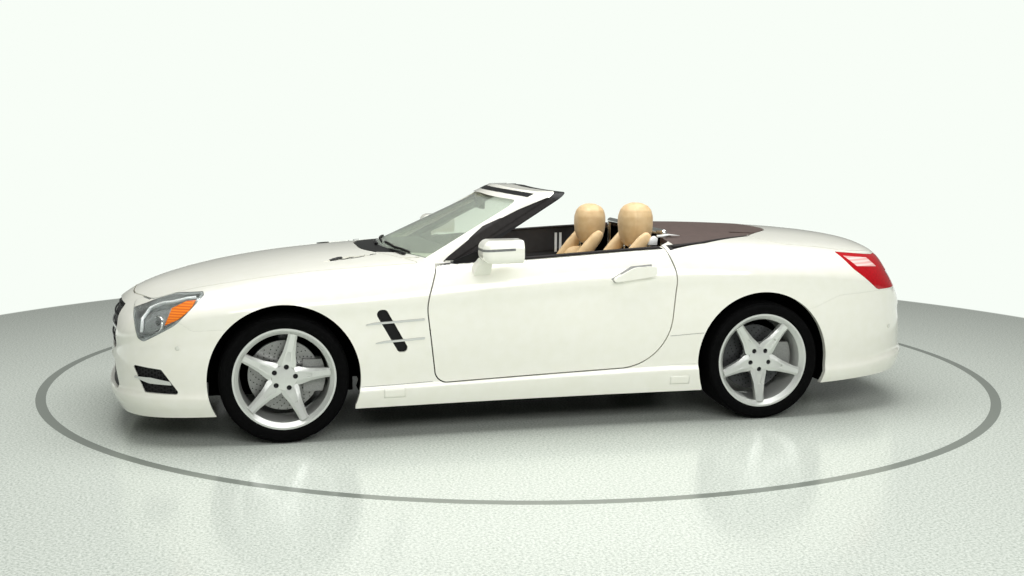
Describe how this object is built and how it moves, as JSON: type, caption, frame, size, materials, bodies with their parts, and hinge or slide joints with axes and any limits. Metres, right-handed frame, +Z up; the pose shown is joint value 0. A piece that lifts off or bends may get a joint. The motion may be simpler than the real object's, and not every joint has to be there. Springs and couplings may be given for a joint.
{
  "type": "roadster convertible",
  "caption": "Two-seat open roadster with stowed roof: hinged doors, bonnet and boot lid, steered front wheels and free-turning wheels on modelled axles.",
  "frame": {"origin": "on the ground at the middle of the overall length and width", "axes": "nose towards -X, car's left towards -Y, +Z up"},
  "size_m": [4.6357, 2.17, 1.2607],
  "materials": {
    "alloy": "gloss",
    "black_trim": "matte",
    "chrome": "polished",
    "dark_leather": "satin",
    "deck_brown": "satin",
    "glass": "clear",
    "iron": "machined",
    "lamp_clear": "clear",
    "lamp_red": "gloss",
    "leather": "satin",
    "paint": "gloss",
    "steel": "satin",
    "tyre": "matte",
    "underbody": "satin"
  },
  "bodies": {
    "body": {"boot_tub": "underbody", "cabin_tub": "underbody", "centre_console": "dark_leather", "cowl": "black_trim", "dashboard": "dark_leather", "engine": "steel", "exhaust": "steel", "front_axle": "steel", "front_bumper": "paint", "front_frame": "underbody", "front_wings": "paint", "grille": "black_trim", "headlamp_lenses": "lamp_clear", "headlamps": "alloy", "headrests": "leather", "intake_blades": "chrome", "rear_axle": "steel", "rear_bumper": "paint", "rear_deck": "deck_brown", "rear_wings": "paint", "roll_bars": "chrome", "screen_seal": "black_trim", "scuttle": "paint", "seat_backs": "leather", "seat_cushions": "leather", "sills": "paint", "steering_column": "dark_leather", "tail_lamps": "lamp_red", "windscreen": "glass", "windscreen_frame": "paint", "wing_vents": "black_trim"},
    "left_door": {"left_door": "paint", "left_mirror": "paint", "left_door_handle": "paint"},
    "right_door": {"right_door": "paint", "right_mirror": "paint", "right_door_handle": "paint"},
    "bonnet": {"bonnet": "paint"},
    "boot_lid": {"boot_lid": "paint"},
    "left_knuckle": {"left_knuckle": "steel"},
    "right_knuckle": {"right_knuckle": "steel"},
    "steering_wheel": {"steering_wheel": "dark_leather"},
    "left_front_wheel": {"left_front_tyre": "tyre", "left_front_rim": "alloy", "left_front_disc": "iron"},
    "left_rear_wheel": {"left_rear_tyre": "tyre", "left_rear_rim": "alloy", "left_rear_disc": "iron"},
    "right_front_wheel": {"right_front_tyre": "tyre", "right_front_rim": "alloy", "right_front_disc": "iron"},
    "right_rear_wheel": {"right_rear_tyre": "tyre", "right_rear_rim": "alloy", "right_rear_disc": "iron"}
  },
  "joints": [
    {"name": "left_door_hinge", "type": "hinge", "parent": "body", "child": "left_door", "pos_m": [-0.54, -0.9, 0.455], "axis": [0, 0, -1], "range_deg": [0, 65]},
    {"name": "right_door_hinge", "type": "hinge", "parent": "body", "child": "right_door", "pos_m": [-0.54, 0.9, 0.455], "axis": [0, 0, 1], "range_deg": [0, 65]},
    {"name": "bonnet_hinge", "type": "hinge", "parent": "body", "child": "bonnet", "pos_m": [-0.698, 0, 0.895], "axis": [0, 1, 0], "range_deg": [0, 45]},
    {"name": "boot_lid_hinge", "type": "hinge", "parent": "body", "child": "boot_lid", "pos_m": [1.236, 0, 0.978], "axis": [0, -1, 0], "range_deg": [0, 60]},
    {"name": "left_steer", "type": "hinge", "parent": "body", "child": "left_knuckle", "pos_m": [-1.411, -0.69, 0.328], "axis": [0, 0, 1], "range_deg": [-34, 34]},
    {"name": "left_front_wheel_spin", "type": "hinge", "parent": "left_knuckle", "child": "left_front_wheel", "pos_m": [-1.411, -0.7995, 0.328], "axis": [0, 1, 0], "continuous": true},
    {"name": "left_rear_wheel_spin", "type": "hinge", "parent": "body", "child": "left_rear_wheel", "pos_m": [1.174, -0.802, 0.325], "axis": [0, 1, 0], "continuous": true},
    {"name": "right_steer", "type": "hinge", "parent": "body", "child": "right_knuckle", "pos_m": [-1.411, 0.69, 0.328], "axis": [0, 0, 1], "range_deg": [-34, 34]},
    {"name": "right_front_wheel_spin", "type": "hinge", "parent": "right_knuckle", "child": "right_front_wheel", "pos_m": [-1.411, 0.7995, 0.328], "axis": [0, 1, 0], "continuous": true},
    {"name": "right_rear_wheel_spin", "type": "hinge", "parent": "body", "child": "right_rear_wheel", "pos_m": [1.174, 0.802, 0.325], "axis": [0, 1, 0], "continuous": true},
    {"name": "steering_wheel_turn", "type": "hinge", "parent": "body", "child": "steering_wheel", "pos_m": [-0.19, -0.385, 0.77], "axis": [0.9135, 0, 0.4067], "range_deg": [-480, 480]}
  ],
  "couplings": [
    {"joint": "right_steer", "follows": "left_steer", "ratio": 1},
    {"joint": "steering_wheel_turn", "follows": "left_steer", "ratio": 14}
  ]
}
